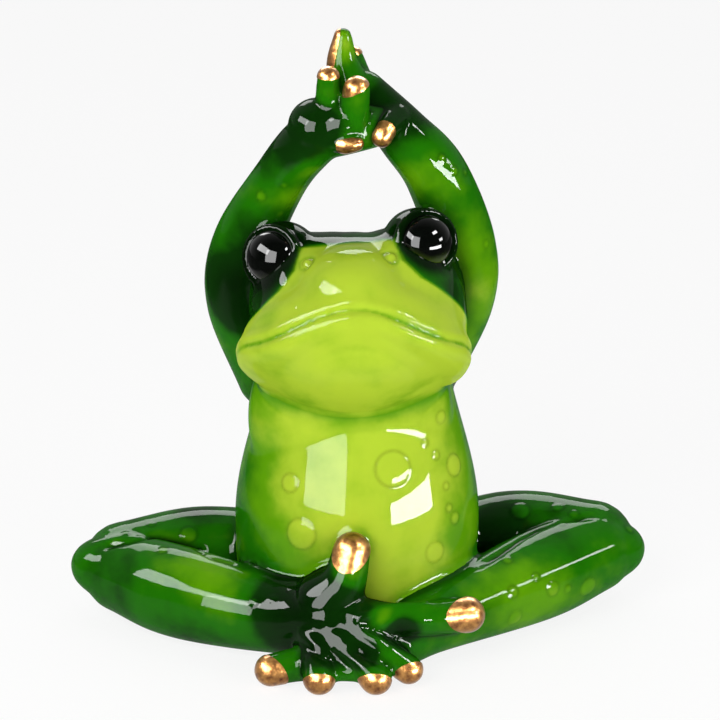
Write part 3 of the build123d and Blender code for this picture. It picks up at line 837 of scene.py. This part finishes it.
def coated(name, shade):
    """A casting with its joints filled, its droplets raised, and its tones, painted light and painted shade sprayed
    and kept for the lacquer.
    """
    mesh, near = joined_casting(name)
    tree = tree_of(mesh)
    points = places(mesh)
    rim = np.zeros(len(points))
    drop = np.zeros(len(points))
    for px, py, radius in DROPLETS[name]:
        spot = tree.ray_cast(*view_ray(px, py))[0]
        if spot is None:
            continue
        gap = np.linalg.norm(points - np.array(spot), axis=1) / radius
        drop = np.maximum(drop, (0.06 + 0.07 * radius) * np.sqrt(np.clip(1 - gap**2, 0, 1)))
        rim = np.maximum(rim, np.exp(-(((gap - 1) * radius / 0.35) ** 2)))
    outward = normals(mesh)
    # Tones of the paint and painted shade, sprayed in passes over the casting's own shade
    shade = spray_tones_and_shade(mesh, shade(points, outward), TONE_AND_SHADE_PASSES[name])
    # The lacquer is lighter under each droplet
    shade = shade + 0.12 * ramp(drop, 0.0, 0.15)
    pool = pooling_and_shade(mesh, near)
    # Painted shade in the joints and hollows of the lime castings, turning them greener rather than almost black
    if name in ("body", "head"):
        shade = shade - 0.3 * pool
        pool = 0.05 * pool
    if name == "head":
        # Almost black round the eyes, as lacquer pools there and as painted shade
        pool = np.maximum(pool, eye_pooling_and_shade(points) * (1 - ramp(shade, 0.55, 0.85)))
    # Passes below 0 turn almost black, as lacquer pooling and painted shade
    pool = np.maximum(pool, np.clip(-shade, 0, 1))
    # A dark ring round each droplet, darker where the skin faces up
    pool = np.maximum(pool, 0.35 * rim * (0.4 + 0.6 * ramp(outward[:, 2], -0.2, 0.6)))
    move(mesh, points + outward * drop[:, None])
    keep_values(mesh, shade=shade, pool=pool)
    return mesh


def body_shade(points, outward):
    """Lime in front, greener round the sides and back."""
    return 0.3 + 0.65 * ramp(-outward[:, 1] + 0.2 * outward[:, 2], -0.1, 0.9)


def head_shade(points, outward):
    """Lime on the face up to the bridge of the snout, moss on the crown, with painted shade along the mouth."""
    x, y, z = in_frame(points, head_matrix()).T
    side = 1 - ramp(np.abs(x) - np.interp(z, FACE_HEIGHTS, FACE_WIDTHS), -1.2, 1.0)
    # Painted shade along the mouth, under the fold of the upper lip
    line = np.exp(-(((z - MOUTH_HEIGHT + mouth_drop(x)) / 0.55) ** 2))
    front = np.maximum(ramp(-y, -8, 2), ramp(-y, -18, -10) * ramp(-z, 9, 13))
    return 0.06 + 0.92 * side * (1 - ramp(z, 8.2, 9.8)) * front * (1 - 0.22 * line)


def eye_pooling_and_shade(points):
    """Lacquer pooling almost black around the eyes, and painted shade that reaches further round the right eye,
    which sits in shadow.
    """
    pool = np.zeros(len(points))
    for side in SIDES.values():
        x, y, z = in_frame(points, head_matrix() @ eye_matrix(side)).T
        gap = np.sqrt(x**2 + y**2 + (0.6 * (z - EYE_RIM)) ** 2)
        # Painted shade: the darkness reaches further round the right eye, which sits in shadow
        reach = EYE_RADIUS + (3.4 if side == LEFT else 5.2)
        pool = np.maximum(pool, 0.95 * (1 - ramp(gap, EYE_RADIUS + 0.3, reach)))
    return pool


def limb_shade(points, outward):
    """Leaf green, with painted light: lighter where a limb faces forwards."""
    # Painted light: lighter towards the front
    return 0.18 + 0.16 * ramp(-outward[:, 1], -0.3, 0.9)


class FROG_OT_body(bpy.types.Operator):
    """Body casting, lime in front and greener round the sides and back"""

    bl_idname = "frog.body"
    bl_label = "Body"

    def execute(self, context):
        mesh = coated("body", body_shade)
        finish_piece("body_casting", mesh, lacquer("lime lacquer on cast resin"), "torso")
        return {"FINISHED"}


class FROG_OT_head(bpy.types.Operator):
    """Head casting with its mouth, nostrils and eye mounds"""

    bl_idname = "frog.head"
    bl_label = "Head"

    def execute(self, context):
        mesh = coated("head", head_shade)
        finish_piece("head_casting", mesh, lacquer("lime lacquer on cast resin"), "head")
        return {"FINISHED"}


class FROG_OT_eyes(bpy.types.Operator):
    """Polished black eye domes set in the lids"""

    bl_idname = "frog.eyes"
    bl_label = "Eyes"

    def execute(self, context):
        for name, side in SIDES.items():
            form = bmesh.new()
            add_ellipsoid(form, (0, 0, EYE_RIM), (EYE_RADIUS, EYE_RADIUS, EYE_DOME), eye_matrix(side))
            bmesh.ops.transform(form, matrix=head_matrix(), verts=form.verts)
            mesh = bpy.data.meshes.new("eye")
            form.to_mesh(mesh)
            form.free()
            x, y, _ = in_frame(places(mesh), head_matrix() @ eye_matrix(side)).T / EYE_RADIUS
            low = ramp(-y, 0.25, 0.9) * ramp(np.hypot(x, y), 0.55, 0.9)
            keep_values(mesh, olive=(0.9 if side == LEFT else 0.15) * low)
            finish_piece(f"eye_dome_{name}", mesh, eye_glass(), f"eye_{name}")
        return {"FINISHED"}


def gilding(runs, cuts):
    """Gilded ends of digits, each a thin shell end of its run beyond a cut."""
    caps = bmesh.new()
    for run, (face, offset) in zip(runs, cuts):
        way = Vector(face).normalized()
        start = Vector(run[-1][:3]) + way * offset
        form = bmesh.new()
        add_run(form, run, sizes().leaf)
        mesh = cast(form, LEAF_EASE)
        cap = bmesh.new()
        cap.from_mesh(mesh)
        geom = [*cap.verts, *cap.edges, *cap.faces]
        bmesh.ops.bisect_plane(cap, geom=geom, plane_co=start, plane_no=way, clear_inner=True)
        rim = [e for e in cap.edges if e.is_boundary]
        for e in rim:
            e.smooth = False
        bmesh.ops.holes_fill(cap, edges=rim, sides=0)
        bmesh.ops.triangulate(cap, faces=[f for f in cap.faces if len(f.verts) > 4])
        for v in cap.verts:
            v.co.z = max(v.co.z, 0)
        cap.to_mesh(mesh)
        cap.free()
        caps.from_mesh(mesh)
    done = bpy.data.meshes.new("gilding")
    caps.to_mesh(done)
    caps.free()
    return done


class FROG_OT_arms(bpy.types.Operator):
    """Raised arms, joined hands and gilded finger ends"""

    bl_idname = "frog.arms"
    bl_label = "Arms and hands"

    def execute(self, context):
        for name in SIDES:
            arm, hand = divide(coated(f"arm_{name}", limb_shade), *WRISTS[name], WRIST_REACH)
            finish = lacquer("green lacquer on cast resin")
            finish_piece(f"arm_casting_{name}", arm, finish, f"arm_{name}")
            finish_piece(f"hand_casting_{name}", hand, finish, f"hand_{name}")
            tips = gilding(FINGER_RUNS[name], FINGER_LEAF[name])
            finish_piece(f"finger_gilding_{name}", tips, gold_leaf(), f"hand_{name}_tips")
        return {"FINISHED"}


class FROG_OT_legs(bpy.types.Operator):
    """Folded legs, crossed feet and gilded toe ends"""

    bl_idname = "frog.legs"
    bl_label = "Legs and feet"

    def execute(self, context):
        for name in SIDES:
            leg, foot = divide(coated(f"leg_{name}", limb_shade), *ANKLES[name], ANKLE_REACH)
            finish = lacquer("green lacquer on cast resin")
            finish_piece(f"leg_casting_{name}", leg, finish, f"leg_{name}")
            finish_piece(f"foot_casting_{name}", foot, finish, f"foot_{name}")
            tips = gilding(TOE_RUNS[name], TOE_LEAF[name])
            finish_piece(f"toe_gilding_{name}", tips, gold_leaf(), f"foot_{name}_tips")
        return {"FINISHED"}


class FROG_OT_dowels(bpy.types.Operator):
    """Steel pins inside the joints, as the CAD has them"""

    bl_idname = "frog.dowels"
    bl_label = "Dowels"

    def execute(self, context):
        for name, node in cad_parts.items():
            if "dowel" in name:
                node.data.materials.clear()
                node.data.materials.append(pin_steel())
        return {"FINISHED"}


def softbox(name, azimuth, rise, width, height, power, gloss):
    """An area lamp that faces the middle of the frog, which lights its colours or shows in its gloss."""
    lamp = bpy.data.lights.new(name, "AREA")
    lamp.shape = "RECTANGLE"
    lamp.size, lamp.size_y = width * MM, height * MM
    lamp.energy = power
    piece = bpy.data.objects.new(name, lamp)
    piece.visible_diffuse, piece.visible_glossy = not gloss, gloss
    turn, lift = radians(azimuth), radians(rise)
    way = Vector((sin(turn) * cos(lift), -cos(turn) * cos(lift), sin(lift)))
    piece.location = (Vector(VIEW_TARGET) + way * LAMP_DISTANCE) * MM
    piece.rotation_euler = way.to_track_quat("Z", "Y").to_euler()
    bpy.context.scene.collection.objects.link(piece)


class FROG_OT_stage(bpy.types.Operator):
    """White studio floor, soft light and the photograph's camera"""

    bl_idname = "frog.stage"
    bl_label = "Stage"

    def execute(self, context):
        scene = context.scene
        light = scene.frog_stage
        scene.view_settings.view_transform = "Standard"
        rise = radians(VIEW_RISE)
        lens = bpy.data.cameras.new("camera")
        lens.sensor_width = SENSOR
        lens.lens = SENSOR * VIEW_DISTANCE / VIEW_WIDTH
        lens.clip_end = 50
        camera = bpy.data.objects.new("camera", lens)
        camera.location = (Vector(VIEW_TARGET) + Vector((0, -cos(rise), sin(rise))) * VIEW_DISTANCE) * MM
        camera.rotation_euler = (radians(90) - rise, 0, 0)
        scene.collection.objects.link(camera)
        scene.camera = camera

        form = bmesh.new()
        bmesh.ops.create_grid(form, x_segments=1, y_segments=1, size=6)
        mesh = bpy.data.meshes.new("studio_floor")
        form.to_mesh(mesh)
        form.free()
        floor = bpy.data.objects.new("studio_floor", mesh)
        scene.collection.objects.link(floor)
        finish, tree, output = new_finish("white paper on a grey floor")
        # White to the eye. The gloss shows white paper under and behind the frog, and grey beside and before it
        spot = add_node(tree, "ShaderNodeSeparateXYZ", {
            "Vector": add_node(tree, "ShaderNodeTexCoord").outputs["Object"]}).outputs
        across = add_node(tree, "ShaderNodeMath", {0: spot["X"]}, operation="ABSOLUTE").outputs["Value"]
        beside = add_node(tree, "ShaderNodeMapRange", {
            "Value": across, "From Min": 0.12, "From Max": 0.16, "To Min": 1.0, "To Max": 0.0},
            interpolation_type="SMOOTHSTEP")
        before = add_node(tree, "ShaderNodeMapRange", {"Value": spot["Y"], "From Min": -0.085, "From Max": -0.06},
                          interpolation_type="SMOOTHSTEP")
        sheet = add_node(tree, "ShaderNodeMath", {
            0: beside.outputs["Result"], 1: before.outputs["Result"]}, operation="MULTIPLY").outputs["Value"]
        path = add_node(tree, "ShaderNodeLightPath").outputs
        dull = add_node(tree, "ShaderNodeMath", {0: 1.0, 1: path["Is Glossy Ray"]}, operation="SUBTRACT")
        plain = add_node(tree, "ShaderNodeMath", {0: sheet, 1: dull.outputs["Value"]}, operation="MAXIMUM")
        tint = add_node(tree, "ShaderNodeMix", {
            "Factor": plain.outputs["Value"], MIX_A: linear("6A6A6A"), MIX_B: (1, 1, 1, 1)}, data_type="RGBA")
        paper = add_node(tree, "ShaderNodeBsdfDiffuse", {"Color": tint.outputs[MIX_RESULT]})
        glow = add_node(tree, "ShaderNodeEmission", {"Color": tint.outputs[MIX_RESULT], "Strength": 1.0})
        seen = add_node(tree, "ShaderNodeMath", {
            0: path["Is Camera Ray"], 1: path["Is Glossy Ray"]}, operation="MAXIMUM")
        seen = add_node(tree, "ShaderNodeMath", {
            0: seen.outputs["Value"], 1: path["Is Transmission Ray"]}, operation="MAXIMUM")
        share = add_node(tree, "ShaderNodeMath", {0: seen.outputs["Value"], 1: FLOOR_GLOW}, operation="MULTIPLY")
        mix = add_node(tree, "ShaderNodeMixShader", {
            0: share.outputs["Value"], 1: paper.outputs["BSDF"], 2: glow.outputs["Emission"]})
        tree.links.new(mix.outputs["Shader"], output.inputs["Surface"])
        mesh.materials.append(finish)

        world = bpy.data.worlds.new("white studio")
        scene.world = world
        world.use_nodes = True
        tree = world.node_tree
        tree.nodes.clear()
        # White to the camera. The frog is lit by a white wall behind it and a dimmer room in front of it
        way = add_node(tree, "ShaderNodeTexCoord").outputs["Generated"]
        depth = add_node(tree, "ShaderNodeSeparateXYZ", {"Vector": way}).outputs["Y"]
        level = add_node(tree, "ShaderNodeMapRange", {
            "Value": depth, "From Min": -0.3, "From Max": 0.6, "To Min": light.room, "To Max": light.surround})
        level = add_node(tree, "ShaderNodeMath", {
            0: level.outputs["Result"], 1: add_node(tree, "ShaderNodeLightPath").outputs["Is Camera Ray"]},
            operation="MAXIMUM")
        back = add_node(tree, "ShaderNodeBackground", {"Color": (1, 1, 1, 1), "Strength": level.outputs["Value"]})
        add_node(tree, "ShaderNodeOutputWorld", {"Surface": back.outputs["Background"]})

        softbox("key_light", -28, 28, 440, 440, light.key, False)
        softbox("fill_light", 48, 12, 400, 300, light.fill, False)
        for lamp in GLOSS_LAMPS:
            softbox(*lamp, True)
        return {"FINISHED"}


class FROG_PT_panel(bpy.types.Panel):
    """Lists the steps that build the frog"""

    bl_idname = "FROG_PT_panel"
    bl_label = "Resin Frog"
    bl_space_type = "VIEW_3D"
    bl_region_type = "UI"
    bl_category = "Frog"

    def draw(self, context):
        for step in STEPS:
            self.layout.operator(step.bl_idname)
        for group in (context.scene.frog_sizes, context.scene.frog_colours, context.scene.frog_stage):
            for name in group.__annotations__:
                self.layout.prop(group, name)


STEPS = (FROG_OT_body, FROG_OT_head, FROG_OT_eyes, FROG_OT_arms, FROG_OT_legs, FROG_OT_dowels, FROG_OT_stage)
GROUPS = {"frog_sizes": FrogSizes, "frog_colours": FrogColours, "frog_stage": FrogStage}


def register():
    for kind in (*GROUPS.values(), *STEPS, FROG_PT_panel):
        bpy.utils.register_class(kind)
    for name, kind in GROUPS.items():
        setattr(bpy.types.Scene, name, bpy.props.PointerProperty(type=kind))


def unregister():
    for name in GROUPS:
        delattr(bpy.types.Scene, name)
    for kind in (FROG_PT_panel, *reversed(STEPS), *GROUPS.values()):
        bpy.utils.unregister_class(kind)


def main():
    register()
    for step in STEPS:
        group, name = step.bl_idname.split(".")
        getattr(getattr(bpy.ops, group), name)()


if __name__ == "__main__":
    main()
